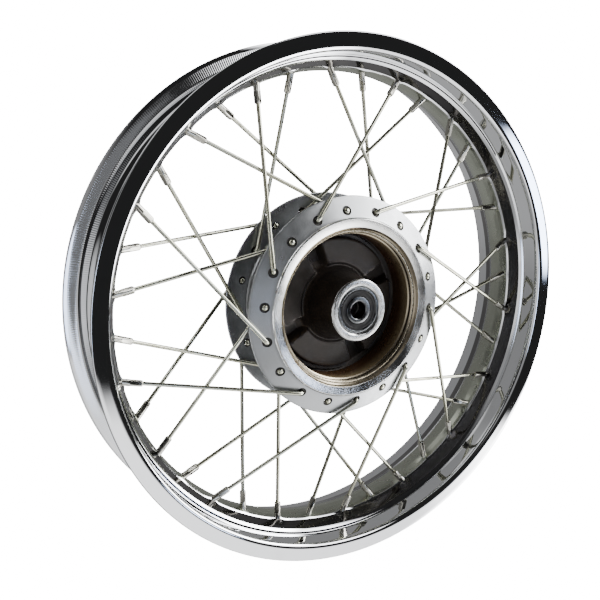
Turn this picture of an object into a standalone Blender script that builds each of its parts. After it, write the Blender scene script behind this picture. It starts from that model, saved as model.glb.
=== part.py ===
"""Spoked rear motorcycle wheel: steel rim, 36 spokes, drum-brake hub, two ball bearings, cush rubbers.

Metres, +Z up. The axle lies along Y and the brake side faces -Y. The origin is on the axle line,
in the middle of the wheel's overall width, so the rim's centre plane is a little towards +Y.
Every length below is measured in the rim's own frame: a radius from the axle, and a distance
along the axle from the rim's centre plane.
"""

import math

import bmesh
import bpy
from mathutils import Matrix, Vector

MM = 0.001
GAP = 0.3 * MM

# Driving dimensions
RIM_PLANE_Y = 2.275 * MM        # from the middle of the overall width to the rim's centre plane
LIP_RADIUS = 232.3 * MM         # 17 inch bead seat (218.3) and a 14 mm flange
HALF_WIDTH = 45.2 * MM
WELL_RADIUS = 203.6 * MM        # hub side of the drop centre, where the nipples sit
RIM_STEPS = 60

SPOKES = 36
FIRST_NIPPLE = 2.5              # degrees from +X towards +Z
LEAD_FORWARD = 41.5             # degrees from nipple to flange hole, spokes leaning one way
LEAD_BACK = -38.5               # and the other way
NEAR_ROW = (205.2 * MM, -11.7 * MM)     # radius and y where a nipple leaves the rim
FAR_ROW = (204.0 * MM, -7.0 * MM)
SPOKE_RADIUS = 1.75 * MM
NIPPLE_RADIUS = 2.95 * MM
NIPPLE_LENGTH = 16.0 * MM

HUB_MIDDLE_Y = -8.4 * MM        # middle of the two spoke flanges
FLANGE_RADIUS = 98.2 * MM
HOLE_RADIUS = 85.9 * MM         # pitch radius of the spoke holes on a flange's outer face
HOLE_FACE_Y = -37.1 * MM
HOLE_TILT = math.radians(23.0)
HOLE_DEPTH = 5.0 * MM
HUB_STEPS = 48

DRUM_RADIUS = 65.0 * MM         # 130 mm brake
DRUM_FACE_Y = -41.3 * MM
DRUM_BACK_Y = -3.5 * MM
BOSS_FACE_Y = -49.75 * MM
FAR_BOSS_Y = 37.5 * MM

POCKETS = 4
POCKET_FIRST = 70.0             # degrees, centre of the first cush pocket
POCKET_HALF = 36.0

BEARING_OUTER = 21.0 * MM       # 15 x 42 x 13 bearing
BEARING_BORE = 7.5 * MM
BEARING_WIDTH = 13.0 * MM
BALL_RADIUS = 3.97 * MM
BALL_PITCH = 14.25 * MM
BALLS = 8
BEARING_STEPS = 24
DRUM_BEARING_Y = -48.75 * MM    # outer face of each bearing
SPROCKET_BEARING_Y = 36.8 * MM


def material(name, colour, metallic, roughness):
    made = bpy.data.materials.new(name)
    made.use_nodes = True
    shader = made.node_tree.nodes["Principled BSDF"]
    shader.inputs["Base Color"].default_value = (*colour, 1.0)
    shader.inputs["Metallic"].default_value = metallic
    shader.inputs["Roughness"].default_value = roughness
    made.diffuse_color = (*colour, 1.0)
    return made


def polar(radius, y, degrees):
    turn = math.radians(degrees)
    return Vector((radius * math.cos(turn), y, radius * math.sin(turn)))


def place(obj, collection, paint=None):
    """Puts an object in the rim's frame, on the axle."""
    for home in obj.users_collection:
        home.objects.unlink(obj)
    collection.objects.link(obj)
    obj.parent = axle
    if paint:
        obj.data.materials.clear()
        obj.data.materials.append(paint)
    return obj


def as_cutter(obj):
    obj.hide_render = True
    obj.display_type = "WIRE"
    return place(obj, cutters)


def turned(name, profile, steps, paint=None):
    """A closed profile of (radius, y) points in mm, turned about the axle."""
    points = [(r * MM, y * MM) for r, y in profile]
    pairs = list(zip(points, points[1:] + points[:1]))
    if sum(a[0] * b[1] - b[0] * a[1] for a, b in pairs) > 0:
        points.reverse()
    mesh = bpy.data.meshes.new(name)
    count = len(points)
    mesh.from_pydata([(r, 0.0, y) for r, y in points], [(i, (i + 1) % count) for i in range(count)], [])
    obj = bpy.data.objects.new(name, mesh)
    bpy.context.scene.collection.objects.link(obj)
    screw = obj.modifiers.new("Turn", "SCREW")
    screw.steps = screw.render_steps = steps
    screw.use_merge_vertices = True
    screw.merge_threshold = 0.00001
    screw.use_smooth_shade = True
    obj.rotation_euler = (-math.pi / 2, 0.0, 0.0)
    return place(obj, parts, paint) if paint else as_cutter(obj)


def mesh_object(name, fill):
    mesh = bpy.data.meshes.new(name)
    work = bmesh.new()
    fill(work)
    work.to_mesh(mesh)
    work.free()
    obj = bpy.data.objects.new(name, mesh)
    bpy.context.scene.collection.objects.link(obj)
    return obj


def pin(work, centre, direction, radius, length, sides=8):
    """Adds a cylinder whose middle is at centre."""
    aim = Vector((0, 0, 1)).rotation_difference(direction).to_matrix().to_4x4()
    bmesh.ops.create_cone(
        work, cap_ends=True, segments=sides, radius1=radius, radius2=radius, depth=length,
        matrix=Matrix.Translation(centre) @ aim,
    )


def sector(name, inner, outer, half, middle, y0, y1, corner=3.0, paint=None):
    """A block between two radii and two angles, with rounded corners; mm and degrees."""
    def corner_points(radius, angle, towards_r, towards_a):
        """A quarter round at one corner of the block, from its straight side to its arc."""
        found = []
        for step in range(4):
            t = math.radians(30.0 * step)
            r = radius + towards_r * corner * (1 - math.sin(t))
            found.append((r, angle + towards_a * math.degrees(corner * (1 - math.cos(t)) / radius)))
        return found

    def arc(radius, fractions):
        """Points between two corners."""
        return [(radius, (half - math.degrees(corner / radius)) * a) for a in fractions]

    outline = corner_points(outer, -half, -1, 1)
    outline += arc(outer, (-0.6, -0.2, 0.2, 0.6))
    outline += corner_points(outer, half, -1, -1)[::-1]
    outline += corner_points(inner, half, 1, -1)
    outline += arc(inner, (0.4, -0.4))
    outline += corner_points(inner, -half, 1, 1)[::-1]
    curve = bpy.data.curves.new(name, "CURVE")
    curve.dimensions = "2D"
    curve.fill_mode = "BOTH"
    curve.extrude = abs(y1 - y0) * MM / 2
    line = curve.splines.new("POLY")
    line.points.add(len(outline) - 1)
    line.use_cyclic_u = True
    for point, (r, angle) in zip(line.points, outline):
        turn = -math.radians(middle + angle)
        point.co = (r * MM * math.cos(turn), r * MM * math.sin(turn), 0.0, 1.0)
    guide = bpy.data.objects.new(name + "_outline", curve)
    guide.rotation_euler = (-math.pi / 2, 0.0, 0.0)
    guide.location = (0.0, (y0 + y1) * MM / 2, 0.0)
    bpy.context.scene.collection.objects.link(guide)
    bpy.context.view_layer.update()
    mesh = bpy.data.meshes.new_from_object(guide.evaluated_get(bpy.context.evaluated_depsgraph_get()))
    work = bmesh.new()
    work.from_mesh(mesh)
    bmesh.ops.remove_doubles(work, verts=work.verts, dist=0.00001)
    bmesh.ops.recalc_face_normals(work, faces=work.faces)
    work.to_mesh(mesh)
    work.free()
    obj = bpy.data.objects.new(name, mesh)
    obj.matrix_world = guide.matrix_world
    bpy.data.objects.remove(guide)
    bpy.context.scene.collection.objects.link(obj)
    return place(obj, parts, paint) if paint else as_cutter(obj)


def boolean(obj, other, operation):
    cut = obj.modifiers.new(operation.title(), "BOOLEAN")
    cut.operation = operation
    cut.object = other
    cut.solver = "EXACT"


def smooth(obj, degrees=35.0):
    for polygon in obj.data.polygons:
        polygon.use_smooth = True
    obj.data.set_sharp_from_angle(angle=math.radians(degrees))


# ---------------------------------------------------------------- stage
for old in list(bpy.data.objects):
    bpy.data.objects.remove(old)
parts = bpy.data.collections.new("spoked_wheel")
cutters = bpy.data.collections.new("spoked_wheel_cutters")
bpy.context.scene.collection.children.link(parts)
bpy.context.scene.collection.children.link(cutters)
axle = bpy.data.objects.new("axle_line", None)
axle.location = (0.0, RIM_PLANE_Y, 0.0)
parts.objects.link(axle)

CHROME = material("rim_chrome", (0.62, 0.63, 0.65), 1.0, 0.08)
ALLOY = material("hub_alloy", (0.55, 0.56, 0.57), 0.9, 0.38)
IRON = material("drum_iron", (0.16, 0.10, 0.06), 0.7, 0.45)
ZINC = material("spoke_zinc", (0.62, 0.62, 0.58), 1.0, 0.28)
STEEL = material("bearing_steel", (0.60, 0.61, 0.62), 1.0, 0.2)
RUBBER = material("black_rubber", (0.03, 0.03, 0.03), 0.0, 0.7)
COLLAR = material("collar_steel", (0.40, 0.41, 0.42), 1.0, 0.4)


# ---------------------------------------------------------------- spokes
def flange_side(side):
    """The hole's centre on a flange's outer and inner face, and its outward axis, in the plane of
    the axle; side is -1 for the brake-side flange and +1 for the sprocket-side one."""
    def mirrored(r, y):
        return Vector((r, y if side < 0 else 2 * HUB_MIDDLE_Y - y))
    outward = Vector((math.sin(HOLE_TILT), side * math.cos(HOLE_TILT)))
    outer = mirrored(HOLE_RADIUS, HOLE_FACE_Y)
    return outer, outer - outward * HOLE_DEPTH, outward


def in_plane(point, degrees):
    return polar(point.x, point.y, degrees)


def spoke_path(side, elbow_outside, lead, row):
    """Points and radii of one spoke with its nipple, for a nipple at 0 degrees: head, hole,
    elbow, shank, nipple, and the nipple's head on the tyre side of the rim."""
    outer, inner, outward = flange_side(side)
    start, end, away = (inner, outer, outward) if elbow_outside else (outer, inner, -outward)
    elbow = in_plane(end + away * 2.45 * MM, lead)
    seat = polar(*row, 0.0)
    run = (seat - elbow).normalized()

    def before(mm):
        return in_plane(start - away * mm * MM, lead)
    lift = in_plane(end + away * 0.5 * MM, lead)
    shank = SPOKE_RADIUS
    return [
        (before(2.0), 2.8 * MM), (before(0.7), 3.5 * MM),
        (before(0.35), shank), (lift, shank),
        (in_plane(end + away * 1.7 * MM, lead) + run * 0.6 * MM, shank),
        (elbow + run * 2.2 * MM, shank),
        (seat - run * (NIPPLE_LENGTH + 0.4 * MM), shank),
        (seat - run * NIPPLE_LENGTH, NIPPLE_RADIUS),
        (seat + run * 6.7 * MM, NIPPLE_RADIUS),
        (seat + run * 7.0 * MM, 3.9 * MM), (seat + run * 8.6 * MM, 3.3 * MM),
    ], seat, run


def spoke_curve(name, path):
    curve = bpy.data.curves.new(name, "CURVE")
    curve.dimensions = "3D"
    curve.bevel_depth = MM
    curve.bevel_resolution = 1
    curve.use_fill_caps = True
    line = curve.splines.new("POLY")
    line.points.add(len(path) - 1)
    for point, (place_at, radius) in zip(line.points, path):
        point.co = (*place_at, 1.0)
        point.radius = radius / MM
    line.use_smooth = True
    return curve


KINDS = [  # in the order that they follow each other round the rim
    ("far_elbow_out", 1, True, LEAD_BACK, FAR_ROW),
    ("near_elbow_in", -1, False, LEAD_BACK, NEAR_ROW),
    ("far_elbow_in", 1, False, LEAD_FORWARD, FAR_ROW),
    ("near_elbow_out", -1, True, LEAD_FORWARD, NEAR_ROW),
]
shapes = {}
for kind, side, elbow_outside, lead, row in KINDS:
    path, seat, run = spoke_path(side, elbow_outside, lead, row)
    shapes[kind] = (spoke_curve("spoke_" + kind, path), seat, run)

flange_holes = []
rim_holes = []
for index in range(SPOKES):
    kind, side, elbow_outside, lead, row = KINDS[index % 4]
    angle = FIRST_NIPPLE + 360.0 / SPOKES * index
    curve, seat, run = shapes[kind]
    spoke = bpy.data.objects.new(f"spoke_{index + 1:02d}", curve)
    spoke.rotation_euler = (0.0, -math.radians(angle), 0.0)
    bpy.context.scene.collection.objects.link(spoke)
    place(spoke, parts)
    turn = Matrix.Rotation(-math.radians(angle), 3, "Y")
    rim_holes.append((turn @ (seat + run * 1.3 * MM), turn @ run))
    outer, inner, outward = flange_side(side)
    middle = in_plane((outer + inner) / 2, angle + lead)
    flange_holes.append((middle, in_plane(outer, angle + lead) - in_plane(inner, angle + lead)))
for kind in shapes:
    shapes[kind][0].materials.append(ZINC)


# ---------------------------------------------------------------- rim
def mirrored_profile(half):
    """A half profile on the -Y side, from the well outwards and back, closed by its mirror image."""
    hub_side, tyre_side = half
    return (
        [(r, y) for r, y in hub_side] + [(r, y) for r, y in tyre_side]
        + [(r, -y) for r, y in reversed(tyre_side)] + [(r, -y) for r, y in reversed(hub_side)]
    )


well = WELL_RADIUS / MM
lip = LIP_RADIUS / MM
half = HALF_WIDTH / MM
RIM_HUB_SIDE = [
    (well, -3.0), (well + 1.2, -8.4), (well + 2.7, -12.5), (210.6, -24.1), (214.7, -27.0),
    (216.3, -41.0), (219.5, 0.6 - half), (lip - 1.0, -half),
]
RIM_TYRE_SIDE = [
    (lip, -half + 1.0), (222.3, -42.6), (218.3, -39.4), (216.7, -26.0), (212.7, -22.4),
    (well + 5.2, -12.0), (well + 2.2, -3.0),
]
rim = turned("rim", mirrored_profile((RIM_HUB_SIDE, RIM_TYRE_SIDE)), RIM_STEPS, CHROME)
nipple_holes = as_cutter(mesh_object(
    "nipple_holes",
    lambda work: [pin(work, at, along, 3.8 * MM, 18 * MM, 6) for at, along in rim_holes],
))
boolean(rim, nipple_holes, "DIFFERENCE")


# ---------------------------------------------------------------- hub
def far(y):
    """The mirror image of a flange coordinate, on the sprocket side."""
    return 2 * HUB_MIDDLE_Y / MM - y


edge = FLANGE_RADIUS / MM
race = BEARING_OUTER / MM
bore = 17.5
boss = BOSS_FACE_Y / MM
drum_face = DRUM_FACE_Y / MM
back = DRUM_BACK_Y / MM
far_boss = FAR_BOSS_Y / MM
near_seat = (DRUM_BEARING_Y + BEARING_WIDTH + GAP) / MM
far_seat = (SPROCKET_BEARING_Y - BEARING_WIDTH - GAP) / MM
liner_seat = (DRUM_RADIUS / MM) + 3.6
HUB_PROFILE = [
    # bearing seat, boss and drum on the brake side
    (bore, near_seat), (race, near_seat), (race, boss + 0.8), (race + 0.8, boss), (27.2, boss),
    (28.6, -34.5), (31.5, -15.5), (36.0, -6.5), (42.0, back), (61.5, back),
    (liner_seat, -7.7), (liner_seat, drum_face), (79.2, drum_face), (79.8, -39.7),
    # brake-side flange, shell, sprocket-side flange
    (edge, -31.9), (edge, -29.9), (75.0, -35.2), (75.0, far(-35.2)), (edge, far(-29.9)),
    (edge, far(-31.9)), (80.2, far(-39.4)),
    # cush housing, O-ring groove and bearing seat on the sprocket side
    (73.0, 24.5), (72.0, 32.8), (66.5, 32.8), (66.5, 30.5), (30.0, 30.5),
    (30.0, 32.5), (28.2, 32.5), (28.2, 35.8), (30.0, 35.8), (29.8, far_boss),
    (race, far_boss), (race, far_seat), (bore, far_seat),
]
hub = turned("hub", HUB_PROFILE, HUB_STEPS, ALLOY)
spoke_holes = as_cutter(mesh_object(
    "spoke_holes",
    lambda work: [pin(work, at, along, 2.5 * MM, 14 * MM, 6) for at, along in flange_holes],
))
pocket_angles = [POCKET_FIRST + 360.0 / POCKETS * i for i in range(POCKETS)]
for index, angle in enumerate(pocket_angles):
    boolean(hub, sector(f"bulge_{index + 1}", 34.5, 62.0, POCKET_HALF + 4.5, angle, -12.5, 5.5, 5.0), "UNION")
for index, angle in enumerate(pocket_angles):
    boolean(hub, sector(f"pocket_{index + 1}", 33.0, 64.0, POCKET_HALF, angle, -8.0, 35.5, 3.0), "DIFFERENCE")
boolean(hub, spoke_holes, "DIFFERENCE")

liner_out = DRUM_RADIUS / MM + 3.3
brake_liner = turned("brake_liner", [
    (DRUM_RADIUS / MM, -8.5), (DRUM_RADIUS / MM, drum_face + 3.4), (DRUM_RADIUS / MM + 1.6, drum_face + 1.2),
    (liner_out, drum_face + 0.9), (liner_out, -8.5),
], HUB_STEPS, IRON)


# ---------------------------------------------------------------- bearings
def bearing(name, face, inward):
    """A sealed ball bearing whose outer face is at y = face; inward is +1 or -1 along Y."""
    def at(depth):
        return face + inward * depth
    pitch = BALL_PITCH / MM
    groove = BALL_RADIUS / MM + 0.5
    middle = BEARING_WIDTH / MM / 2
    width = BEARING_WIDTH / MM

    def groove_points(land, sign):
        """The ball groove in a race, from the outer face inwards."""
        reach = math.asin(min(1.0, abs(pitch - land) / groove))
        steps = [reach, (reach + math.pi / 2) / 2, math.pi / 2]
        steps = steps + [math.pi - s for s in reversed(steps[:-1])]
        return [(pitch + sign * groove * math.sin(s), at(middle - groove * math.cos(s))) for s in steps]

    outside = race - 0.3
    inside = BEARING_BORE / MM
    outer_land, inner_land = 17.2, 11.9
    turned(name + "_outer_race", [
        (outside, at(0)), (outside, at(width)), (outer_land, at(width)),
    ] + groove_points(outer_land, 1)[::-1] + [(outer_land, at(0))], BEARING_STEPS, STEEL)
    turned(name + "_inner_race", [
        (inside, at(0)), (inside, at(width)), (inner_land, at(width)),
    ] + groove_points(inner_land, -1)[::-1] + [(inner_land, at(0))], BEARING_STEPS, STEEL)
    turned(name + "_seal", [
        (inner_land + 0.35, at(0.5)), (outer_land - 0.35, at(0.5)), (outer_land - 0.35, at(1.5)),
        (inner_land + 0.35, at(1.5)),
    ], BEARING_STEPS, RUBBER)
    cage = turned(name + "_balls", [
        (pitch - 0.7, at(middle - 1.4)), (pitch + 0.7, at(middle - 1.4)),
        (pitch + 0.7, at(middle + 1.4)), (pitch - 0.7, at(middle + 1.4)),
    ], BEARING_STEPS, STEEL)

    def fill(work):
        for index in range(BALLS):
            centre = polar(pitch * MM, at(middle) * MM, 360.0 / BALLS * (index + 0.5))
            bmesh.ops.create_uvsphere(
                work, u_segments=6, v_segments=5, radius=BALL_RADIUS, matrix=Matrix.Translation(centre),
            )
    boolean(cage, as_cutter(mesh_object(name + "_ball_shapes", fill)), "UNION")


bearing("drum_bearing", DRUM_BEARING_Y / MM, 1)
bearing("sprocket_bearing", SPROCKET_BEARING_Y / MM, -1)
collar_near = (DRUM_BEARING_Y + BEARING_WIDTH + GAP) / MM
collar_far = (SPROCKET_BEARING_Y - BEARING_WIDTH - GAP) / MM
turned("distance_collar", [
    (BEARING_BORE / MM + 0.1, collar_near), (11.0, collar_near), (11.0, collar_far),
    (BEARING_BORE / MM + 0.1, collar_far),
], BEARING_STEPS, COLLAR)


# ---------------------------------------------------------------- cush rubbers and O-ring
for index, angle in enumerate(pocket_angles):
    rubber = sector(f"damper_{index + 1}", 35.0, 62.0, POCKET_HALF - 3.0, angle, -7.5, 26.5, 4.0, RUBBER)
    smooth(rubber)
    slot = sector(f"damper_slot_{index + 1}", 29.0, 56.0, 5.0, angle, -0.5, 31.5, 2.0)
    boolean(rubber, slot, "DIFFERENCE")
ring_points = [(29.85 + 1.3 * math.cos(a), 34.15 + 1.3 * math.sin(a)) for a in
               [math.radians(60.0 * i) for i in range(6)]]
turned("boss_o_ring", ring_points, 30, RUBBER)
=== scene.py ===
import math
import random

import bmesh
import bpy
from mathutils import Matrix, Vector


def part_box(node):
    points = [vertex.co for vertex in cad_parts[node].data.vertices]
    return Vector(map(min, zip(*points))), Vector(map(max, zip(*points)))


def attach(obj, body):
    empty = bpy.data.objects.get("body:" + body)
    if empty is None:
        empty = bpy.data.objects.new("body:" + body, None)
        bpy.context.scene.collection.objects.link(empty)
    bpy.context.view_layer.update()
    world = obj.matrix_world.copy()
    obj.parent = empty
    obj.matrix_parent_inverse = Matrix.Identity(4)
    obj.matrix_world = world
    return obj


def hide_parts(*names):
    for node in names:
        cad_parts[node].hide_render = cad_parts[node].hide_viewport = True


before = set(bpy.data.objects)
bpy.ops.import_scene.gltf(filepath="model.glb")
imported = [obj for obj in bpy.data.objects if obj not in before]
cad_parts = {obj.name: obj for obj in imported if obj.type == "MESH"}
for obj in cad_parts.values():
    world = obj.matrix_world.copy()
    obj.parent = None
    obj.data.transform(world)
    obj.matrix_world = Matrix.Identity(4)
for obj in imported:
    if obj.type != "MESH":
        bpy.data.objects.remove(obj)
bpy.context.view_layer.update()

# Lengths below are millimetres in the rim's own frame: a radius from the axle, and y along the
# axle from the rim's centre plane. metres() turns them into the row frame.
MM = 0.001
rim_low, rim_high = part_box("rim")
RIM_PLANE = (rim_low.y + rim_high.y) / 2
LIP = rim_high.x / MM
HALF_WIDTH = (rim_high.y - rim_low.y) / 2 / MM
hub_low, hub_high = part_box("hub")
FLANGE = hub_high.x / MM
BOSS_FACE = (hub_low.y - RIM_PLANE) / MM
FAR_BOSS = (hub_high.y - RIM_PLANE) / MM

RIM_COLUMNS = 432
HUB_COLUMNS = 288

# Lacing, as in the CAD model
SPOKES = 36
NIPPLE_STEP = 360.0 / SPOKES
FIRST_NIPPLE = 2.5
LEADS = {"forward": 41.5, "back": -38.5}      # degrees from a nipple to its flange hole
WELL = 203.6
NEAR_ROW = (205.2, -11.7)                     # radius and y where a nipple leaves the rim
FAR_ROW = (204.0, -7.0)
HUB_MIDDLE = -8.4                             # midway between the spoke flanges
HOLE_RADIUS = 85.9
HOLE_FACE = -37.1
HOLE_TILT = math.radians(23.0)
HOLE_DEPTH = 5.0
SPOKE_RADIUS = 1.75

# The wire's elbow end is thicker. The CAD model leaves that out.
BUTT_RADIUS = SPOKE_RADIUS + 0.25

# Nipple dimples in the rim's well
DIMPLE_REACH = 8.0
DIMPLE_DEPTH = 1.6
DIMPLE_LIMIT = 211.5                          # nothing outside this radius is pressed

# Hub, drum and cush drive
DRUM = 65.0
DRUM_FACE = -41.3
DRUM_BACK = -3.5
LINER_SEAT = DRUM + 3.6
LINER_OUTSIDE = DRUM + 3.3
POCKET_ANGLES = [70.0 + 90.0 * i for i in range(4)]
POCKET_FLOOR = -8.0
BULGE_TOP = -12.5                             # how far a pocket's back stands into the drum
BULGE_HALF = 40.5                             # degrees

# Bearings, 15 x 42 x 13
RACE = 21.0
BORE = 7.5
BEARING_WIDTH = 13.0
OUTER_LAND = 17.3
INNER_LAND = 11.8
BALL = 3.97
BALL_PITCH = 14.25
BALLS = 8
DRUM_BEARING = -48.75                         # y of each bearing's outer face
SPROCKET_BEARING = 36.8


def metres(radius, y, degrees):
    turn = math.radians(degrees)
    return Vector((radius * MM * math.cos(turn), y * MM + RIM_PLANE, radius * MM * math.sin(turn)))


def ease(value, low, high):
    """0 below low, 1 above high and smooth between."""
    t = min(1.0, max(0.0, (value - low) / (high - low)))
    return t * t * (3 - 2 * t)


def far(y):
    """The mirror image of a flange coordinate, on the sprocket side."""
    return 2 * HUB_MIDDLE - y


# ---------------------------------------------------------------- materials
class Paint:
    """A Principled material with helpers for its procedural detail."""

    def __init__(self, name, colour, metallic, roughness):
        self.material = bpy.data.materials.new(name)
        self.material.use_nodes = True
        self.tree = self.material.node_tree
        self.shader = self.tree.nodes["Principled BSDF"]
        self.shader.inputs["Base Color"].default_value = (*colour, 1.0)
        self.shader.inputs["Metallic"].default_value = metallic
        self.shader.inputs["Roughness"].default_value = roughness
        self.colour = colour
        self.place = self.add("ShaderNodeTexCoord").outputs["Object"]

    def add(self, kind, **settings):
        node = self.tree.nodes.new(kind)
        for key, value in settings.items():
            setattr(node, key, value)
        return node

    def link(self, a, b):
        self.tree.links.new(a, b)

    def math(self, operation, a, b=None):
        node = self.add("ShaderNodeMath", operation=operation)
        for socket, value in zip(node.inputs, (a, b)):
            if isinstance(value, (int, float)):
                socket.default_value = value
            elif value is not None:
                self.link(value, socket)
        return node.outputs[0]

    def noise(self, scale, detail=3.0, roughness=0.5, distortion=0.0, stretch=None):
        node = self.add("ShaderNodeTexNoise")
        node.inputs["Scale"].default_value = scale
        node.inputs["Detail"].default_value = detail
        node.inputs["Roughness"].default_value = roughness
        node.inputs["Distortion"].default_value = distortion
        source = self.place
        if stretch:
            mapping = self.add("ShaderNodeMapping")
            mapping.inputs["Scale"].default_value = stretch
            self.link(source, mapping.inputs["Vector"])
            source = mapping.outputs[0]
        self.link(source, node.inputs["Vector"])
        return node.outputs["Fac"]

    def polar(self):
        """Sockets for the radius, the angle in radians about the axle and y, in metres."""
        split = self.add("ShaderNodeSeparateXYZ")
        self.link(self.place, split.inputs[0])
        x, y, z = split.outputs
        squares = self.math("ADD", self.math("MULTIPLY", x, x), self.math("MULTIPLY", z, z))
        return self.math("SQRT", squares), self.math("ARCTAN2", z, x), y

    def spread(self, value, low, high, start=0.3, end=0.7):
        """Maps value from start..end onto low..high."""
        node = self.add("ShaderNodeMapRange", interpolation_type="SMOOTHSTEP")
        self.link(value, node.inputs["Value"])
        limits = {"From Min": start, "From Max": end, "To Min": low, "To Max": high}
        for key, number in limits.items():
            node.inputs[key].default_value = number
        return node.outputs[0]

    def tint(self, value, second, amount=1.0):
        """Mixes the present base colour towards a second one by value."""
        node = self.add("ShaderNodeMix", data_type="RGBA")
        if amount != 1.0:
            value = self.math("MULTIPLY", value, amount)
        self.link(value, node.inputs["Factor"])
        base = self.shader.inputs["Base Color"]
        if base.is_linked:
            self.link(base.links[0].from_socket, node.inputs["A"])
        else:
            node.inputs["A"].default_value = (*self.colour, 1.0)
        node.inputs["B"].default_value = (*second, 1.0)
        self.link(node.outputs["Result"], base)

    def rough(self, value):
        self.link(value, self.shader.inputs["Roughness"])

    def bump(self, height, distance, strength=1.0):
        node = self.add("ShaderNodeBump")
        node.inputs["Distance"].default_value = distance
        node.inputs["Strength"].default_value = strength
        self.link(height, node.inputs["Height"])
        normal = self.shader.inputs["Normal"]
        if normal.is_linked:
            self.link(normal.links[0].from_socket, node.inputs["Normal"])
        self.link(node.outputs["Normal"], normal)


def chrome_paint():
    paint = Paint("bright_chrome", (0.78, 0.79, 0.81), 1.0, 0.02)
    paint.rough(paint.spread(paint.noise(38.0, 4.0), 0.012, 0.032))
    paint.tint(paint.spread(paint.noise(60.0, 5.0, 0.6), 0.0, 1.0, 0.55, 0.75), (0.70, 0.70, 0.71), 0.5)
    paint.bump(paint.noise(30.0, 1.0), 0.0004, 0.09)
    return paint.material


def shaded_chrome_paint():
    """The shoulder beside the well. A darker chrome stands in for the dark room it mirrors."""
    paint = Paint("shoulder_chrome", (0.13, 0.125, 0.13), 1.0, 0.08)
    paint.rough(paint.spread(paint.noise(40.0, 4.0), 0.06, 0.14))
    paint.tint(paint.spread(paint.noise(26.0, 5.0, 0.6), 0.0, 1.0, 0.45, 0.75), (0.19, 0.185, 0.175), 0.6)
    return paint.material


def dull_chrome_paint():
    """The well, greyer than the flanges: taken as plating that wasn't polished."""
    paint = Paint("well_chrome", (0.43, 0.45, 0.385), 1.0, 0.3)
    paint.rough(paint.spread(paint.noise(45.0, 5.0), 0.2, 0.36))
    paint.tint(paint.spread(paint.noise(16.0, 6.0, 0.65), 0.0, 1.0, 0.45, 0.7), (0.33, 0.345, 0.285), 0.6)
    paint.bump(paint.noise(900.0, 2.0, stretch=(1.0, 0.15, 1.0)), 0.00008, 0.35)
    return paint.material


def knurled_paint():
    """Fine ribs beside the bead seat that hold the tyre."""
    paint = Paint("knurled_seat", (0.74, 0.75, 0.77), 1.0, 0.14)
    _, angle, _ = paint.polar()
    ribs = paint.math("SINE", paint.math("MULTIPLY", angle, 720.0))
    paint.bump(ribs, 0.000028, 1.0)
    paint.rough(paint.spread(paint.noise(40.0, 4.0), 0.06, 0.13))
    return paint.material


def zinc_paint():
    paint = Paint("bright_zinc", (0.47, 0.47, 0.385), 1.0, 0.18)
    paint.rough(paint.spread(paint.noise(70.0, 4.0), 0.12, 0.26))
    paint.tint(paint.spread(paint.noise(28.0, 4.0, 0.6), 0.0, 1.0, 0.4, 0.7), (0.35, 0.34, 0.23), 0.7)
    paint.bump(paint.noise(700.0, 3.0), 0.00006, 0.3)
    return paint.material


def nickel_paint():
    paint = Paint("nipple_nickel", (0.46, 0.45, 0.40), 1.0, 0.16)
    paint.rough(paint.spread(paint.noise(90.0, 4.0), 0.1, 0.26))
    paint.tint(paint.spread(paint.noise(120.0, 3.0), 0.0, 1.0, 0.5, 0.75), (0.31, 0.30, 0.25), 0.6)
    paint.bump(paint.noise(800.0, 2.0), 0.00005, 0.3)
    return paint.material


def casting_paint():
    """Satin silver paint over the sand-cast skin of the hub."""
    paint = Paint("hub_silver", (0.39, 0.40, 0.41), 0.95, 0.30)
    paint.rough(paint.spread(paint.noise(90.0, 3.0), 0.26, 0.36, 0.15, 0.85))
    paint.tint(paint.spread(paint.noise(24.0, 3.0, 0.5), 0.0, 1.0, 0.15, 0.85), (0.33, 0.34, 0.35), 0.7)
    paint.bump(paint.noise(455.0, 3.0, 0.55), 0.00022, 0.24)
    paint.bump(paint.noise(2600.0, 2.0), 0.00005, 0.35)
    return paint.material


def machined_paint(name="machined_alloy", colour=(0.72, 0.72, 0.71), base_roughness=0.17):
    """Turned face: concentric tool marks."""
    paint = Paint(name, colour, 1.0, base_roughness)
    radius, _, y = paint.polar()
    marks = paint.math("SINE", paint.math("MULTIPLY", paint.math("ADD", radius, y), 24000.0))
    paint.bump(marks, 0.00002, 0.12)
    paint.rough(paint.spread(paint.noise(50.0, 4.0), base_roughness - 0.05, base_roughness + 0.08))
    darker = tuple(channel * 0.8 for channel in colour)
    paint.tint(paint.spread(paint.noise(90.0, 4.0), 0.0, 1.0, 0.5, 0.8), darker, 0.6)
    return paint.material


def drum_inside_paint():
    """Cast back wall of the drum, under a thin brown lacquer, coloured near black as painted shade inside
    the drum.
    """
    paint = Paint("drum_inside_painted_shade", (0.020, 0.017, 0.015), 0.5, 0.36)
    paint.rough(paint.spread(paint.noise(80.0, 4.0), 0.32, 0.5))
    paint.tint(paint.spread(paint.noise(22.0, 5.0, 0.6), 0.0, 1.0, 0.35, 0.7), (0.034, 0.026, 0.021), 0.8)
    paint.bump(paint.noise(380.0, 4.0, 0.6), 0.0003, 0.35)
    return paint.material


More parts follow.
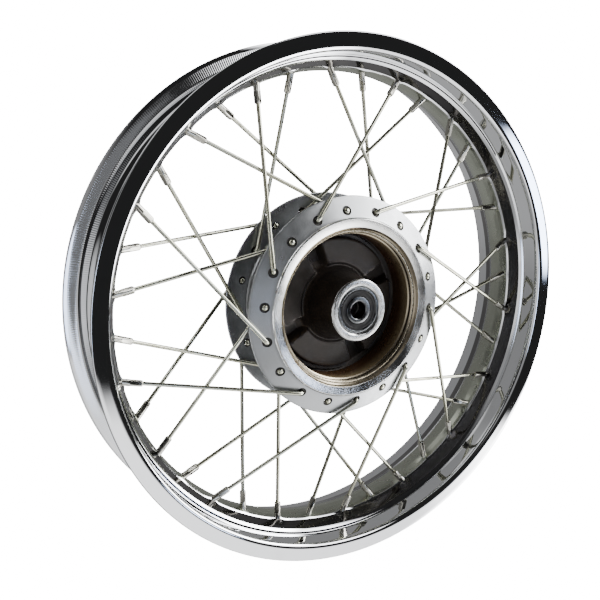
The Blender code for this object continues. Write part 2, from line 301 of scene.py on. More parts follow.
def liner_paint():
    """Turned iron braking surface under brown rust-proofing lacquer, with painted light near the mouth."""
    paint = Paint("liner_lacquer_and_painted_mouth_light", (0.14, 0.072, 0.034), 0.6, 0.33)
    _, _, y = paint.polar()
    marks = paint.math("SINE", paint.math("MULTIPLY", y, 15000.0))
    paint.bump(marks, 0.00003, 0.3)
    paint.rough(paint.spread(paint.noise(40.0, 4.0), 0.24, 0.42))
    paint.tint(paint.spread(paint.noise(18.0, 4.0, 0.6), 0.0, 1.0, 0.35, 0.7), (0.085, 0.046, 0.026), 0.8)
    # Painted light: the liner is lighter towards the drum's mouth, where light falls in, and darker deeper
    # in as painted shade.
    mouth = DRUM_FACE * MM + RIM_PLANE
    paint.tint(paint.spread(y, 1.0, 0.0, mouth + 0.006, mouth + 0.024), (0.46, 0.38, 0.22), 0.85)
    return paint.material


def seal_paint():
    paint = Paint("seal_rubber", (0.009, 0.009, 0.010), 0.0, 0.5)
    paint.shader.inputs["Specular IOR Level"].default_value = 0.12
    radius, _, _ = paint.polar()
    rings = paint.math("SINE", paint.math("MULTIPLY", radius, 6500.0))
    paint.bump(rings, 0.0001, 0.5)
    paint.rough(paint.spread(paint.noise(160.0, 3.0), 0.4, 0.62))
    paint.tint(paint.spread(paint.noise(120.0, 4.0), 0.0, 1.0, 0.5, 0.8), (0.03, 0.029, 0.027), 0.6)
    return paint.material


def rubber_paint():
    paint = Paint("moulded_rubber", (0.03, 0.03, 0.032), 0.0, 0.6)
    paint.rough(paint.spread(paint.noise(100.0, 4.0), 0.5, 0.75))
    paint.tint(paint.spread(paint.noise(60.0, 5.0, 0.6), 0.0, 1.0, 0.5, 0.8), (0.075, 0.073, 0.07), 0.6)
    paint.bump(paint.noise(900.0, 3.0), 0.0001, 0.4)
    return paint.material


def recess_paint():
    """Countersinks and holes, unpainted: stained with oil, and darkened further as painted shade in the
    hollows.
    """
    paint = Paint("stained_and_shaded_recess", (0.05, 0.048, 0.045), 0.4, 0.5)
    paint.rough(paint.spread(paint.noise(200.0, 3.0), 0.4, 0.6))
    paint.tint(paint.spread(paint.noise(300.0, 4.0), 0.0, 1.0, 0.5, 0.8), (0.12, 0.11, 0.10), 0.6)
    return paint.material


CHROME = chrome_paint()
DULL_CHROME = dull_chrome_paint()
KNURLED = knurled_paint()
SHADED = shaded_chrome_paint()
ZINC = zinc_paint()
NICKEL = nickel_paint()
CASTING = casting_paint()
MACHINED = machined_paint()
DRUM_INSIDE_SHADE = drum_inside_paint()
LINER = liner_paint()
MOUTH = machined_paint("liner_mouth", (0.40, 0.35, 0.26), 0.24)
GROUND = machined_paint("ground_steel", (0.15, 0.155, 0.16), 0.16)
COLLAR = machined_paint("turned_steel", (0.36, 0.36, 0.37), 0.32)
SEAL = seal_paint()
RUBBER = rubber_paint()
RECESS = recess_paint()


# ---------------------------------------------------------------- mesh makers
def cut_sides(profile, spacing):
    """Cuts each side of a closed profile into equal pieces. spacing(start, end) is the longest."""
    fine = []
    for start, end in zip(profile, profile[1:] + profile[:1]):
        r0, y0, paint = start
        r1, y1, _ = end
        cuts = max(1, math.ceil(math.hypot(r1 - r0, y1 - y0) / spacing(start, end)))
        fine += [(r0 + (r1 - r0) * k / cuts, y0 + (y1 - y0) * k / cuts, paint) for k in range(cuts)]
    return fine


def outline(corners, arc_steps=5):
    """A closed profile of (radius, y, paint) points from (radius, y, fillet, paint) corners. A
    corner's paint holds from it to the next corner."""
    points = []
    count = len(corners)
    for i, (r, y, fillet, paint) in enumerate(corners):
        here = Vector((r, y))
        before = Vector(corners[i - 1][:2]) - here
        after = Vector(corners[(i + 1) % count][:2]) - here
        if fillet <= 0:
            points.append((r, y, paint))
            continue
        half = before.angle(after) / 2
        reach = min(fillet / math.tan(half), before.length * 0.45, after.length * 0.45)
        radius = reach * math.tan(half)
        before.normalize()
        after.normalize()
        centre = here + (before + after).normalized() * radius / math.sin(half)
        start = here + before * reach - centre
        end = here + after * reach - centre
        sweep_angle = math.atan2(start.x * end.y - start.y * end.x, start.dot(end))
        for step in range(arc_steps + 1):
            turn = sweep_angle * step / arc_steps
            c, s = math.cos(turn), math.sin(turn)
            owner = paint if step * 2 >= arc_steps else corners[i - 1][3]
            points.append((
                centre.x + start.x * c - start.y * s, centre.y + start.x * s + start.y * c, owner,
            ))
    return points


def smooth(mesh, sharp):
    mesh.polygons.foreach_set("use_smooth", [True] * len(mesh.polygons))
    mesh.set_sharp_from_angle(angle=math.radians(sharp))


def finish_mesh(name, points, faces, paints, indices=None, sharp=38.0):
    mesh = bpy.data.meshes.new(name)
    mesh.from_pydata(points, [], faces)
    for paint in paints:
        mesh.materials.append(paint)
    if indices:
        mesh.polygons.foreach_set("material_index", indices)
    smooth(mesh, sharp)
    mesh.update()
    obj = bpy.data.objects.new(name, mesh)
    bpy.context.scene.collection.objects.link(obj)
    return obj


def lathe(name, profile, columns, paints, shape=None, sharp=38.0):
    """Turns a closed profile of (radius, y, paint index) about the axle, so that its faces point
    outwards. shape(radius, y, paint, degrees) may move a point, for cast or pressed forms."""
    area = sum(a[0] * b[1] - b[0] * a[1] for a, b in zip(profile, profile[1:] + profile[:1]))
    if area > 0:
        profile = [(r, y, profile[i - 1][2]) for i, (r, y, _) in enumerate(profile)][::-1]
    rows = len(profile)
    points = []
    for column in range(columns):
        degrees = 360.0 * column / columns
        for r, y, paint in profile:
            if shape:
                r, y = shape(r, y, paint, degrees)
            points.append(metres(r, y, degrees))
    faces, indices = [], []
    for column in range(columns):
        a, b = column * rows, (column + 1) % columns * rows
        for row in range(rows):
            below = (row + 1) % rows
            faces.append((a + row, b + row, b + below, a + below))
            indices.append(profile[row][2])
    return finish_mesh(name, points, faces, paints, indices, sharp)


def sweep(name, stations, sides, paint, sharp=38.0):
    """A round or flatted bar along stations of (point, radius), where radius is a number or a
    function of the angle round the bar."""
    points, faces = [], []
    side_axis = None
    count = len(stations)
    for i, (centre, radius) in enumerate(stations):
        ahead = stations[min(i + 1, count - 1)][0] - stations[max(i - 1, 0)][0]
        ahead.normalize()
        if side_axis is None:
            side_axis = ahead.orthogonal().normalized()
        side_axis = (side_axis - ahead * side_axis.dot(ahead)).normalized()
        up = ahead.cross(side_axis)
        for k in range(sides):
            turn = 2 * math.pi * k / sides
            size = radius(turn) if callable(radius) else radius
            points.append(centre + (side_axis * math.cos(turn) + up * math.sin(turn)) * size * MM)
    for i in range(count - 1):
        for k in range(sides):
            n = (k + 1) % sides
            faces.append((i * sides + k, i * sides + n, (i + 1) * sides + n, (i + 1) * sides + k))
    faces.append(tuple(range(sides))[::-1])
    faces.append(tuple((count - 1) * sides + k for k in range(sides)))
    return finish_mesh(name, points, faces, [paint], sharp=sharp)


def show(piece, body, slot, *nodes):
    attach(piece, body)
    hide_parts(*nodes)


# ---------------------------------------------------------------- lacing
def flange_hole(side):
    """A spoke hole's centre on a flange's outer and inner face and its outward axis, as
    (radius, y) vectors. side is -1 on the brake side and 1 on the sprocket side."""
    y = HOLE_FACE if side < 0 else far(HOLE_FACE)
    outward = Vector((math.sin(HOLE_TILT), side * math.cos(HOLE_TILT)))
    outer = Vector((HOLE_RADIUS, y))
    return outer, outer - outward * HOLE_DEPTH, outward


def in_plane(point, degrees):
    """A (radius, y) vector turned to an angle round the axle."""
    return metres(point.x, point.y, degrees)


def lacing():
    """Every spoke in order round the rim: its number, its side, whether the elbow is outside the
    flange, its nipple's angle and row, and its hole's angle."""
    kinds = ((1, True, "back"), (-1, False, "back"), (1, False, "forward"), (-1, True, "forward"))
    for index in range(SPOKES):
        side, outside, lead = kinds[index % 4]
        angle = FIRST_NIPPLE + NIPPLE_STEP * index
        row = NEAR_ROW if side < 0 else FAR_ROW
        yield index + 1, side, outside, angle, row, angle + LEADS[lead]


def spoke_line(side, outside, angle, row, hole):
    """The hole's two ends from the head's side, the way the wire runs through it, the elbow and
    the nipple's seat."""
    outer, inner, outward = flange_hole(side)
    start, end, away = (inner, outer, outward) if outside else (outer, inner, -outward)
    elbow = in_plane(end + away * 2.45, hole)
    seat = metres(*row, angle)
    return start, end, away, elbow, seat


# ---------------------------------------------------------------- rim
def make_rim():
    """Rolled steel section, chromed: dull in the well, ribbed where the tyre's bead grips."""
    bright, dull, ribbed, shaded = 0, 1, 2, 3
    half = HALF_WIDTH
    hub_side = [
        (WELL, -3.0, 8.0, dull), (WELL + 1.2, -8.4, 1.5, dull), (WELL + 2.2, -11.4, 0.5, bright),
        (WELL + 1.8, -12.3, 0.5, bright), (WELL + 3.2, -13.5, 0.8, shaded),
        (210.6, -24.1, 1.2, bright), (212.7, -26.1, 0.8, bright), (215.1, -26.5, 0.9, bright),
        (216.7, -44.4, 3.6, bright), (231.4, -half, 0.8, bright),
    ]
    tyre_side = [
        (LIP, -half + 1.1, 0.8, bright), (228.4, -43.5, 0.0, ribbed), (220.2, -42.4, 2.0, ribbed),
        (218.4, -40.4, 1.5, bright), (216.7, -25.6, 2.6, bright), (212.7, -22.4, 2.0, bright),
        (WELL + 5.2, -12.0, 4.0, dull), (WELL + 2.2, -3.0, 8.0, dull),
    ]

    def mirror(corners):
        """The +Y half; each side's paint now belongs to the corner at its other end."""
        paints = [c[3] for c in corners]
        return [(r, -y, fillet, paints[i - 1]) for i, (r, y, fillet, _) in enumerate(corners)][::-1]

    near = hub_side + tyre_side
    corners = near + mirror(near)
    corners[len(near) - 1] = (*near[-1][:3], dull)
    corners[-1] = (*corners[-1][:3], dull)
    profile = cut_sides(outline(corners, arc_steps=4), lambda start, end: 2.9)
    nipples = [(angle, row) for _, _, _, angle, row, _ in lacing()]

    def dimples(r, y, _, degrees):
        """The well is pressed towards the hub round each nipple."""
        if r > DIMPLE_LIMIT:
            return r, y
        nearest = round((degrees - FIRST_NIPPLE) / NIPPLE_STEP) % SPOKES
        angle, (_, row) = nipples[nearest]
        along = (degrees - angle + 180.0) % 360.0 - 180.0
        away = math.hypot(math.radians(along) * WELL, y - row) / DIMPLE_REACH
        if away >= 1:
            return r, y
        return r - DIMPLE_DEPTH * (1 - away * away) ** 2, y

    paints = [CHROME, DULL_CHROME, KNURLED, SHADED]
    rim = lathe("rim_shell", profile, RIM_COLUMNS, paints, dimples, sharp=50.0)
    show(rim, "wheel", "rim_chrome", "rim")


# ---------------------------------------------------------------- spokes and nipples
# (distance back from the hole's end, radius) of a spoke's rounded head
SPOKE_HEAD = [
    (1.5, 0.3), (1.45, 0.9), (1.3, 1.5), (1.0, 2.0), (0.55, 2.4), (0.0, 2.55), (-0.9, 2.6), (-1.3, 2.3),
]
BEND_RUN = 4.5          # from the elbow's corner to where the wire is straight
BEND_STEPS = 8
HUB_BUTT = 14.0         # length of the thick end after the bend
HUB_TAPER = 20.0        # where the wire is down to its own radius
RIM_END = 12.0          # the wire ends inside the nipple
WIRE_CUTS = 6


def make_wire(number, start, end, away, elbow, seat, hole):
    run = (seat - elbow).normalized()
    stations = [(in_plane(start - away * back, hole), radius) for back, radius in SPOKE_HEAD]
    stations.append((in_plane(start + away * 1.2, hole), BUTT_RADIUS))
    leaves = in_plane(end + away * 0.2, hole)
    bend_end = elbow + run * BEND_RUN * MM
    for step in range(BEND_STEPS + 1):
        t = step / BEND_STEPS
        bent = leaves * (1 - t) ** 2 + elbow * (2 * t * (1 - t)) + bend_end * t ** 2
        stations.append((bent, BUTT_RADIUS))
    taper_end = bend_end + run * HUB_TAPER * MM
    rim_taper = seat - run * HUB_TAPER * MM
    stations.append((bend_end + run * HUB_BUTT * MM, BUTT_RADIUS))
    stations.append((taper_end, SPOKE_RADIUS))
    for cut_number in range(1, WIRE_CUTS):
        stations.append((taper_end.lerp(rim_taper, cut_number / WIRE_CUTS), SPOKE_RADIUS))
    stations.append((rim_taper, SPOKE_RADIUS))
    stations.append((seat - run * RIM_END * MM, SPOKE_RADIUS))
    return sweep(f"spoke_wire_{number:02d}", stations, 14, ZINC)


def flatted(across, corner, twist):
    """The radius of a square bar of half width across, with its corners turned to a radius."""
    def size(turn):
        folded = (turn + twist) % (math.pi / 2)
        folded = min(folded, math.pi / 2 - folded)
        return min(corner, across / math.cos(folded))
    return size


def make_nipple(number, elbow, seat, twist):
    """Square where the key grips, round through the rim, with its head on the tyre side."""
    run = (seat - elbow).normalized()
    profile = [
        (-16.2, 1.95), (-16.0, 2.4), (-15.6, 2.7), (-15.2, flatted(2.55, 2.95, twist)),
        (-14.8, flatted(2.6, 3.2, twist)), (-6.6, flatted(2.6, 3.2, twist)),
        (-6.0, flatted(2.8, 3.1, twist)), (-5.4, 2.95), (0.4, 2.95), (6.7, 2.95),
        (7.0, 3.7), (7.3, 3.9), (8.0, 3.8), (8.4, 3.2), (8.6, 2.4),
    ]
    stations = [(seat + run * along * MM, radius) for along, radius in profile]
    return sweep(f"nipple_{number:02d}", stations, 32, NICKEL, sharp=30.0)


def make_spokes():
    rng = random.Random(7)
    for number, side, outside, angle, row, hole in lacing():
        start, end, away, elbow, seat = spoke_line(side, outside, angle, row, hole)
        node = f"spoke_{number:02d}"
        show(make_wire(number, start, end, away, elbow, seat, hole), "wheel", "spoke_zinc", node)
        twist = rng.uniform(0, math.pi / 2)
        show(make_nipple(number, elbow, seat, twist), "wheel", "spoke_zinc", node)


# ---------------------------------------------------------------- hub
def filled_object(name, fill):
    """A new object whose mesh is made by fill(work)."""
    work = bmesh.new()
    fill(work)
    mesh = bpy.data.meshes.new(name)
    work.to_mesh(mesh)
    work.free()
    obj = bpy.data.objects.new(name, mesh)
    bpy.context.scene.collection.objects.link(obj)
    return obj


def cut(obj, cutter, paint=0):
    """Applies a Boolean difference, gives the cut faces that paint and removes the cutter."""
    cutter.data.polygons.foreach_set("material_index", [paint] * len(cutter.data.polygons))
    boolean = obj.modifiers.new("Cut", "BOOLEAN")
    boolean.operation = "DIFFERENCE"
    boolean.object = cutter
    boolean.solver = "EXACT"
    bpy.context.view_layer.update()
    evaluated = obj.evaluated_get(bpy.context.evaluated_depsgraph_get())
    mesh = bpy.data.meshes.new_from_object(evaluated)
    obj.modifiers.clear()
    obj.data = mesh
    bpy.data.objects.remove(cutter)


def add_cone(work, centre, direction, radius1, radius2, depth, sides=32):
    aim = Vector((0, 0, 1)).rotation_difference(direction).to_matrix().to_4x4()
    bmesh.ops.create_cone(
        work, cap_ends=True, segments=sides, radius1=radius1 * MM, radius2=radius2 * MM, depth=depth * MM,
        matrix=Matrix.Translation(centre) @ aim,
    )


def sector_outline(inner, outer, half, middle, corner, steps=6):
    """A block between two radii and half degrees either side of middle, with rounded corners, as
    (radius, degrees) points."""
    points = []
    for radius, towards_r, ends in ((outer, -1, (-1, 1)), (inner, 1, (1, -1))):
        arc_half = half - math.degrees(corner / radius)
        for place, end in enumerate(ends):
            turned_corner = []
            for step in range(steps + 1):
                t = math.pi / 2 * step / steps
                turned_corner.append((
                    radius + towards_r * corner * (1 - math.sin(t)),
                    middle + end * (half - math.degrees(corner * (1 - math.cos(t)) / radius)),
                ))
            if place == 0:
                points += turned_corner
                count = max(2, int(2 * arc_half / 3))
                points += [(radius, middle + end * arc_half * (1 - 2 * k / count)) for k in range(1, count)]
            else:
                points += turned_corner[::-1]
    return points


def sector_block(work, outline_points, low, high):
    """Adds a prism between y = low and y = high."""
    bottom = [work.verts.new(metres(r, low, a)) for r, a in outline_points]
    top = [work.verts.new(metres(r, high, a)) for r, a in outline_points]
    work.faces.new(bottom)
    work.faces.new(top[::-1])
    count = len(bottom)
    for i in range(count):
        n = (i + 1) % count
        work.faces.new((bottom[i], top[i], top[n], bottom[n]))
    bmesh.ops.recalc_face_normals(work, faces=work.faces)


def make_hub():
    cast, turned_face, inside, recess, mouth_face = range(5)
    far_seat = SPROCKET_BEARING - BEARING_WIDTH - 0.3
    near_seat = DRUM_BEARING + BEARING_WIDTH + 0.3
    corners = [
        # bearing seat, boss and the drum's back wall
        (17.5, near_seat, 0.4, turned_face), (RACE, near_seat, 0.4, turned_face),
        (RACE, BOSS_FACE + 1.2, 0.4, turned_face), (RACE + 1.2, BOSS_FACE, 0.4, turned_face),
        (26.4, BOSS_FACE, 0.4, turned_face), (27.5, BOSS_FACE + 1.1, 0.5, inside),
        (28.6, -34.5, 8.0, inside), (31.5, -15.5, 10.0, inside), (36.0, -6.5, 5.0, inside),
        (42.0, DRUM_BACK, 4.0, inside), (62.5, DRUM_BACK, 4.0, inside),
        (LINER_SEAT - 0.6, -7.7, 0.5, inside), (LINER_SEAT, -7.7, 0.0, inside),
        # the drum's mouth and its turned face
        (LINER_SEAT, DRUM_FACE + 4.6, 0.4, mouth_face),
        (LINER_SEAT + 1.2, DRUM_FACE + 3.4, 0.3, mouth_face),
        (LINER_SEAT + 2.6, DRUM_FACE + 1.1, 0.5, turned_face), (78.4, DRUM_FACE, 0.5, turned_face),
        (79.2, DRUM_FACE + 0.8, 0.5, turned_face), (79.5, -39.9, 0.9, cast),
        # near spoke flange, the groove and the far spoke flange
        (81.4, -39.0, 1.5, cast), (FLANGE, -32.0, 0.9, cast), (FLANGE, -29.8, 0.9, cast),
        (76.5, -34.8, 1.5, cast), (75.0, -33.2, 1.5, cast), (73.8, HUB_MIDDLE, 30.0, cast),
        (75.0, far(-33.2), 1.5, cast), (76.5, far(-34.8), 1.5, cast), (FLANGE, far(-29.8), 0.9, cast),
        (FLANGE, far(-32.0), 0.9, cast), (80.2, far(-39.6), 2.0, cast),
        # cush housing and the sprocket-side boss with its O-ring groove
        (73.0, 24.5, 2.0, cast), (72.0, 32.8, 0.8, turned_face), (66.5, 32.8, 0.5, turned_face),
        (66.5, 30.5, 0.5, turned_face), (30.0, 30.5, 0.5, turned_face), (30.0, 32.5, 0.3, turned_face),
        (28.2, 32.5, 0.4, turned_face), (28.2, 35.8, 0.4, turned_face), (30.0, 35.8, 0.3, turned_face),
        (29.9, FAR_BOSS, 0.7, turned_face), (RACE + 1.0, FAR_BOSS, 0.3, turned_face),
        (RACE, FAR_BOSS - 1.0, 0.3, turned_face), (RACE, far_seat, 0.4, turned_face),
        (17.5, far_seat, 0.4, turned_face),
    ]

    def row_spacing(start, end):
        """Close rows where the back wall bulges, and some on the flanges round their holes."""
        (r0, y0, _), (r1, y1, _) = start, end
        on_wall = 30.0 < min(r0, r1) and max(r0, r1) < LINER_SEAT
        if on_wall and -20.0 < min(y0, y1) and max(y0, y1) < 0.0:
            return 0.9
        return 2.4 if min(r0, r1) > 79.0 else 60.0

    def bulges(r, y, paint, degrees):
        """The backs of the cush pockets stand into the drum."""
        if paint != inside or y < -20.5 or r > LINER_SEAT - 0.3:
            return r, y
        across = ease(r, 32.5, 37.5) * (1 - ease(r, 58.0, 62.5))
        if across <= 0:
            return r, y
        apart = min(abs((degrees - middle + 180.0) % 360.0 - 180.0) for middle in POCKET_ANGLES)
        share = across * ease(math.radians(BULGE_HALF - apart) * r, 0.0, 5.0)
        return r, min(y, BULGE_TOP * share + y * (1 - share))

    profile = cut_sides(outline(corners, arc_steps=4), row_spacing)
    paints = [CASTING, MACHINED, DRUM_INSIDE_SHADE, RECESS, MOUTH]
    hub = lathe("hub_casting", profile, HUB_COLUMNS, paints, bulges, sharp=32.0)

    def pockets(work):
        for middle in POCKET_ANGLES:
            sector_block(work, sector_outline(33.0, 64.0, 36.0, middle, 4.0), POCKET_FLOOR, 45.0)
    cut(hub, filled_object("cush_pockets", pockets))

    def hole_ends():
        """Each spoke hole's outer and inner end and the axis between them."""
        for _, side, _, _, _, hole in lacing():
            outer, inner, _ = flange_hole(side)
            top = in_plane(outer, hole)
            bottom = in_plane(inner, hole)
            yield top, bottom, (top - bottom).normalized()

    def holes(work):
        for top, bottom, axis in hole_ends():
            add_cone(work, (top + bottom) / 2, axis, 2.3, 2.3, 16.0)
    cut(hub, filled_object("spoke_holes", holes), recess)

    def countersinks(work):
        for top, bottom, axis in hole_ends():
            add_cone(work, top - axis * 0.2 * MM, axis, 3.7, 4.9, 2.6)
            add_cone(work, bottom + axis * 0.5 * MM, -axis, 3.2, 4.2, 2.4)
    cut(hub, filled_object("countersinks", countersinks), recess)
    smooth(hub.data, 32.0)
    show(hub, "wheel", "hub_alloy", "hub")


def make_liner():
    """The iron ring the shoes rub on, with a stepped and chamfered mouth."""
    braking, step = 0, 1
    mouth = DRUM_FACE + 4.8
    corners = [
        (DRUM, -8.5, 0.3, braking), (DRUM, mouth + 5.0, 0.5, step), (DRUM + 1.3, mouth + 4.0, 0.5, step),
        (DRUM + 1.3, mouth + 1.2, 0.4, step), (DRUM + 2.4, mouth, 0.3, step),
        (LINER_OUTSIDE, mouth, 0.2, braking), (LINER_OUTSIDE, -8.5, 0.2, braking),
    ]
    liner = lathe("drum_liner", outline(corners), HUB_COLUMNS, [LINER, MOUTH])
    show(liner, "wheel", "drum_iron", "brake_liner")


# ---------------------------------------------------------------- bearings
def make_bearing(prefix, node, face, inward):
    """inward is the way along y from the bearing's outer face to its inner one."""
    def at(depth):
        return face + inward * depth

    width = BEARING_WIDTH
    middle = width / 2
    groove = BALL + 0.25
    outside = RACE - 0.15
    columns = 144
    ball_set = prefix.split("_")[0] + "_ball_set"

    def groove_points(land, sign):
        """The ball groove's arc, from land to land."""
        reach = math.asin(abs(BALL_PITCH - land) / groove)
        turns = [reach + (math.pi - 2 * reach) * k / 10 for k in range(11)]
        return [
            (BALL_PITCH + sign * groove * math.sin(t), at(middle - groove * math.cos(t)), 0.0, 0)
            for t in reversed(turns)
        ]

    outer_corners = [
        (outside - 1.0, at(0), 0.5, 0), (outside, at(1.0), 0.5, 0), (outside, at(width - 1.0), 0.5, 0),
        (outside - 1.0, at(width), 0.5, 0), (OUTER_LAND + 1.1, at(width), 0.2, 0),
        (OUTER_LAND, at(width - 1.6), 0.2, 0), *groove_points(OUTER_LAND, 1),
        (OUTER_LAND, at(1.6), 0.2, 0), (OUTER_LAND + 1.1, at(0), 0.2, 0),
    ]
    inner_corners = [
        (BORE + 0.9, at(0), 0.4, 0), (BORE, at(0.9), 0.4, 0), (BORE, at(width - 0.9), 0.4, 0),
        (BORE + 0.9, at(width), 0.4, 0), (INNER_LAND, at(width), 0.3, 0),
        *groove_points(INNER_LAND, -1), (INNER_LAND, at(0), 0.3, 0),
    ]
    seal_corners = [
        (12.15, at(0.9), 0.15, 0), (12.8, at(0.45), 0.2, 0), (13.6, at(0.75), 0.3, 0),
        (15.4, at(0.75), 0.3, 0), (16.2, at(0.4), 0.3, 0), (17.9, at(0.55), 0.2, 0),
        (17.15, at(1.5), 0.1, 0), (12.15, at(1.5), 0.1, 0),
    ]
    cage_corners = [
        (BALL_PITCH - 0.55, at(middle - 1.6), 0.2, 0), (BALL_PITCH + 0.55, at(middle - 1.6), 0.2, 0),
        (BALL_PITCH + 0.55, at(middle + 1.6), 0.2, 0), (BALL_PITCH - 0.55, at(middle + 1.6), 0.2, 0),
    ]
    for piece, corners, paint, body, slot, part in (
        ("_race_outer", outer_corners, GROUND, "wheel", "bearing_steel", "_outer_race"),
        ("_race_inner", inner_corners, GROUND, "axle_set", "bearing_steel", "_inner_race"),
        ("_dust_seal", seal_corners, SEAL, "wheel", "black_rubber", "_seal"),
        ("_cage", cage_corners, COLLAR, ball_set, "bearing_steel", "_balls"),
    ):
        ring = lathe(prefix + piece, outline(corners), columns, [paint])
        show(ring, body, slot, node + part)

    def spheres(work):
        for k in range(BALLS):
            centre = metres(BALL_PITCH, at(middle), 360.0 / BALLS * (k + 0.5))
            bmesh.ops.create_uvsphere(
                work, u_segments=24, v_segments=16, radius=BALL * MM, matrix=Matrix.Translation(centre),
            )
    balls = filled_object(prefix + "_ball_ring", spheres)
    balls.data.materials.append(GROUND)
    balls.data.polygons.foreach_set("use_smooth", [True] * len(balls.data.polygons))
    show(balls, ball_set, "bearing_steel", node + "_balls")


def make_collar():
    low = DRUM_BEARING + BEARING_WIDTH + 0.05
    high = SPROCKET_BEARING - BEARING_WIDTH - 0.05
    collar = lathe("spacer_tube", outline([
        (BORE + 0.1, low, 0.3, 0), (11.0, low, 0.4, 0), (11.0, high, 0.4, 0), (BORE + 0.1, high, 0.3, 0),
    ]), 96, [COLLAR])
    show(collar, "axle_set", "collar_steel", "distance_collar")


# ---------------------------------------------------------------- cush rubbers and O-ring
def make_rubbers():
    for index, middle in enumerate(POCKET_ANGLES):
        block = sector_outline(34.0, 63.0, 34.5, middle, 4.5)
        slot = sector_outline(29.0, 56.0, 5.0, middle, 1.5)
        rubber = filled_object(
            f"cush_rubber_{index + 1}", lambda work: sector_block(work, block, POCKET_FLOOR + 0.5, 26.5),
        )
        cut(rubber, filled_object("slot", lambda work: sector_block(work, slot, -0.5, 31.5)))
        rubber.data.materials.append(RUBBER)
        bevel = rubber.modifiers.new("Moulded edge", "BEVEL")
        bevel.width = 0.8 * MM
        bevel.segments = 3
        bevel.limit_method = "ANGLE"
        bevel.angle_limit = math.radians(50)
        smooth(rubber.data, 50.0)
        show(rubber, "wheel", "black_rubber", f"damper_{index + 1}")


def make_o_ring():
    radius, y, wire, sides = 29.75, 34.15, 1.4, 16
    turns = [2 * math.pi * k / sides for k in range(sides)]
    profile = [(radius + wire * math.cos(t), y + wire * math.sin(t), 0) for t in turns]
    ring = lathe("seal_o_ring", profile, 144, [RUBBER])
    show(ring, "wheel", "black_rubber", "boss_o_ring")


make_rim()
make_spokes()
make_hub()
make_liner()
make_bearing("drum_side", "drum_bearing", DRUM_BEARING, 1)
make_bearing("sprocket_side", "sprocket_bearing", SPROCKET_BEARING, -1)
make_collar()
make_rubbers()
make_o_ring()


# ---------------------------------------------------------------- studio
def make_floor():
    """A pale, faint floor under the wheel that fades out with distance."""
    size = 3.0
    mesh = bpy.data.meshes.new("floor")
    z = rim_low.z - 0.0005
    corners = [(-size, -size, z), (size, -size, z), (size, size, z), (-size, size, z)]
    mesh.from_pydata(corners, [], [(0, 1, 2, 3)])
    floor = bpy.data.objects.new("studio_floor", mesh)
    bpy.context.scene.collection.objects.link(floor)
    paint = Paint("pale_floor", (0.93, 0.93, 0.92), 0.0, 0.6)
    paint.tint(paint.spread(paint.noise(3.0, 2.0), 0.0, 1.0), (0.91, 0.91, 0.905), 1.0)
    split = paint.add("ShaderNodeSeparateXYZ")
    paint.link(paint.place, split.inputs[0])
    x, y, _ = split.outputs
    squares = paint.math("ADD", paint.math("MULTIPLY", x, x), paint.math("MULTIPLY", y, y))
    away = paint.math("SQRT", squares)
    paint.link(paint.spread(away, 0.10, 0.0, 0.02, 0.45), paint.shader.inputs["Alpha"])
    mesh.materials.append(paint.material)
    floor.visible_glossy = False


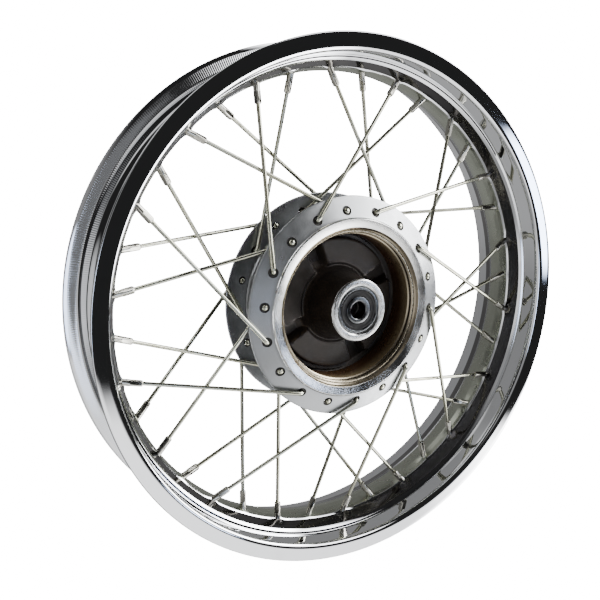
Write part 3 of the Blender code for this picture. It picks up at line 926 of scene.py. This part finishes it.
def make_world():
    world = bpy.data.worlds.new("studio")
    bpy.context.scene.world = world
    world.use_nodes = True
    nodes, links = world.node_tree.nodes, world.node_tree.links
    nodes.clear()
    coordinates = nodes.new("ShaderNodeTexCoord").outputs["Generated"]
    split = nodes.new("ShaderNodeSeparateXYZ")
    links.new(coordinates, split.inputs[0])

    def calc(operation, a, b=None):
        node = nodes.new("ShaderNodeMath")
        node.operation = operation
        for socket, value in zip(node.inputs, (a, b)):
            if isinstance(value, (int, float)):
                socket.default_value = value
            elif value is not None:
                links.new(value, socket)
        return node.outputs[0]

    def between(value, low, high):
        node = nodes.new("ShaderNodeMapRange")
        node.interpolation_type = "SMOOTHSTEP"
        links.new(value, node.inputs["Value"])
        node.inputs["From Min"].default_value = low
        node.inputs["From Max"].default_value = high
        return node.outputs[0]

    def lamp(direction, inner, outer, power):
        """A round soft light in that direction, full inside inner degrees and gone at outer."""
        node = nodes.new("ShaderNodeVectorMath")
        node.operation = "DOT_PRODUCT"
        links.new(coordinates, node.inputs[0])
        node.inputs[1].default_value = Vector(direction).normalized()
        dark = math.cos(math.radians(outer))
        full = math.cos(math.radians(inner))
        return calc("MULTIPLY", between(node.outputs["Value"], dark, full), power)

    x, y, z = split.outputs
    down = calc("MULTIPLY", z, -1.0)
    # a grey backdrop behind the wheel, lighter towards the floor
    backdrop = calc("ADD", calc("MULTIPLY", between(down, 0.10, 0.60), 0.20), 0.25)
    backdrop = calc("MULTIPLY", between(y, 0.20, 0.50), backdrop)
    # a white table top in front of it, brightest on the right
    middle_light = calc("MULTIPLY", between(x, -0.35, 0.25), 1.9)
    right_light = calc("MULTIPLY", between(x, 0.52, 0.62), 9.0)
    table_light = calc("ADD", calc("ADD", middle_light, right_light), 0.35)
    front = between(calc("MULTIPLY", y, -1.0), -0.1, 0.25)
    table = calc("MULTIPLY", calc("MULTIPLY", between(down, 0.28, 0.32), front), table_light)
    total = calc("ADD", calc("MAXIMUM", backdrop, table), 0.02)
    for light in (
        lamp((0.92, -0.16, 0.36), 21, 26, 14.0),
        lamp((0.62, -0.62, 0.48), 13, 22, 6.0),
        lamp((-0.80, -0.56, -0.15), 12, 26, 0.8),
        lamp((-0.45, -0.88, -0.02), 22, 36, 0.3),
        lamp((-0.5, 0.1, 0.85), 14, 30, 1.0),
    ):
        total = calc("ADD", total, light)
    # daylight from two windows, added in a cooler colour
    window = nodes.new("ShaderNodeVectorMath")
    window.operation = "MULTIPLY_ADD"
    small_pane = lamp((0.648, -0.757, -0.107), 2.4, 4.0, 11.0)
    large_pane = lamp((-0.07, -0.98, -0.15), 6.0, 9.0, 4.0)
    panes = calc("ADD", small_pane, large_pane)
    links.new(panes, window.inputs[0])
    window.inputs[1].default_value = (0.75, 0.88, 1.15)
    links.new(total, window.inputs[2])
    background = nodes.new("ShaderNodeBackground")
    links.new(window.outputs[0], background.inputs["Color"])
    # what the camera sees behind the wheel is plain white
    white = nodes.new("ShaderNodeBackground")
    white.inputs["Color"].default_value = (1.0, 1.0, 1.0, 1.0)
    white.inputs["Strength"].default_value = 18.0
    path = nodes.new("ShaderNodeLightPath")
    mix = nodes.new("ShaderNodeMixShader")
    links.new(path.outputs["Is Camera Ray"], mix.inputs[0])
    links.new(background.outputs[0], mix.inputs[1])
    links.new(white.outputs[0], mix.inputs[2])
    output = nodes.new("ShaderNodeOutputWorld")
    links.new(mix.outputs[0], output.inputs["Surface"])


def make_lights():
    for name, place, size, power in (
        ("key", (1.1, -1.3, 1.2), 1.0, 6.0),
        ("fill", (-1.4, -0.9, 0.9), 1.2, 1.5),
        ("top", (0.0, 0.3, 1.8), 1.4, 4.0),
    ):
        light = bpy.data.lights.new(name, "AREA")
        light.size, light.energy = size, power
        lamp = bpy.data.objects.new(name, light)
        lamp.location = place
        lamp.rotation_euler = (-Vector(place)).to_track_quat("-Z", "Y").to_euler()
        lamp.visible_glossy = False
        bpy.context.scene.collection.objects.link(lamp)


def make_camera():
    """Aimed near the rim's centre from the drum side, a little above the axle."""
    azimuth = math.radians(-31.38)
    elevation = math.radians(11.75)
    distance = 3.151 * LIP * MM
    pan = math.radians(-2.18)
    tilt = math.radians(0.01)
    level = math.cos(elevation)
    back = Vector((math.sin(azimuth) * level, -math.cos(azimuth) * level, math.sin(elevation)))
    heading = math.atan2(-back.x, -back.y) + pan
    pitch = -elevation + tilt
    ahead = Vector((
        math.sin(heading) * math.cos(pitch), math.cos(heading) * math.cos(pitch), math.sin(pitch),
    ))
    data = bpy.data.cameras.new("camera")
    data.lens = 47.68
    data.sensor_width = 36.0
    camera = bpy.data.objects.new("camera", data)
    camera.location = Vector((0.0, RIM_PLANE, 0.0)) + back * distance
    camera.rotation_euler = ahead.to_track_quat("-Z", "Y").to_euler()
    bpy.context.scene.collection.objects.link(camera)
    bpy.context.scene.camera = camera


make_floor()
make_world()
make_lights()
make_camera()
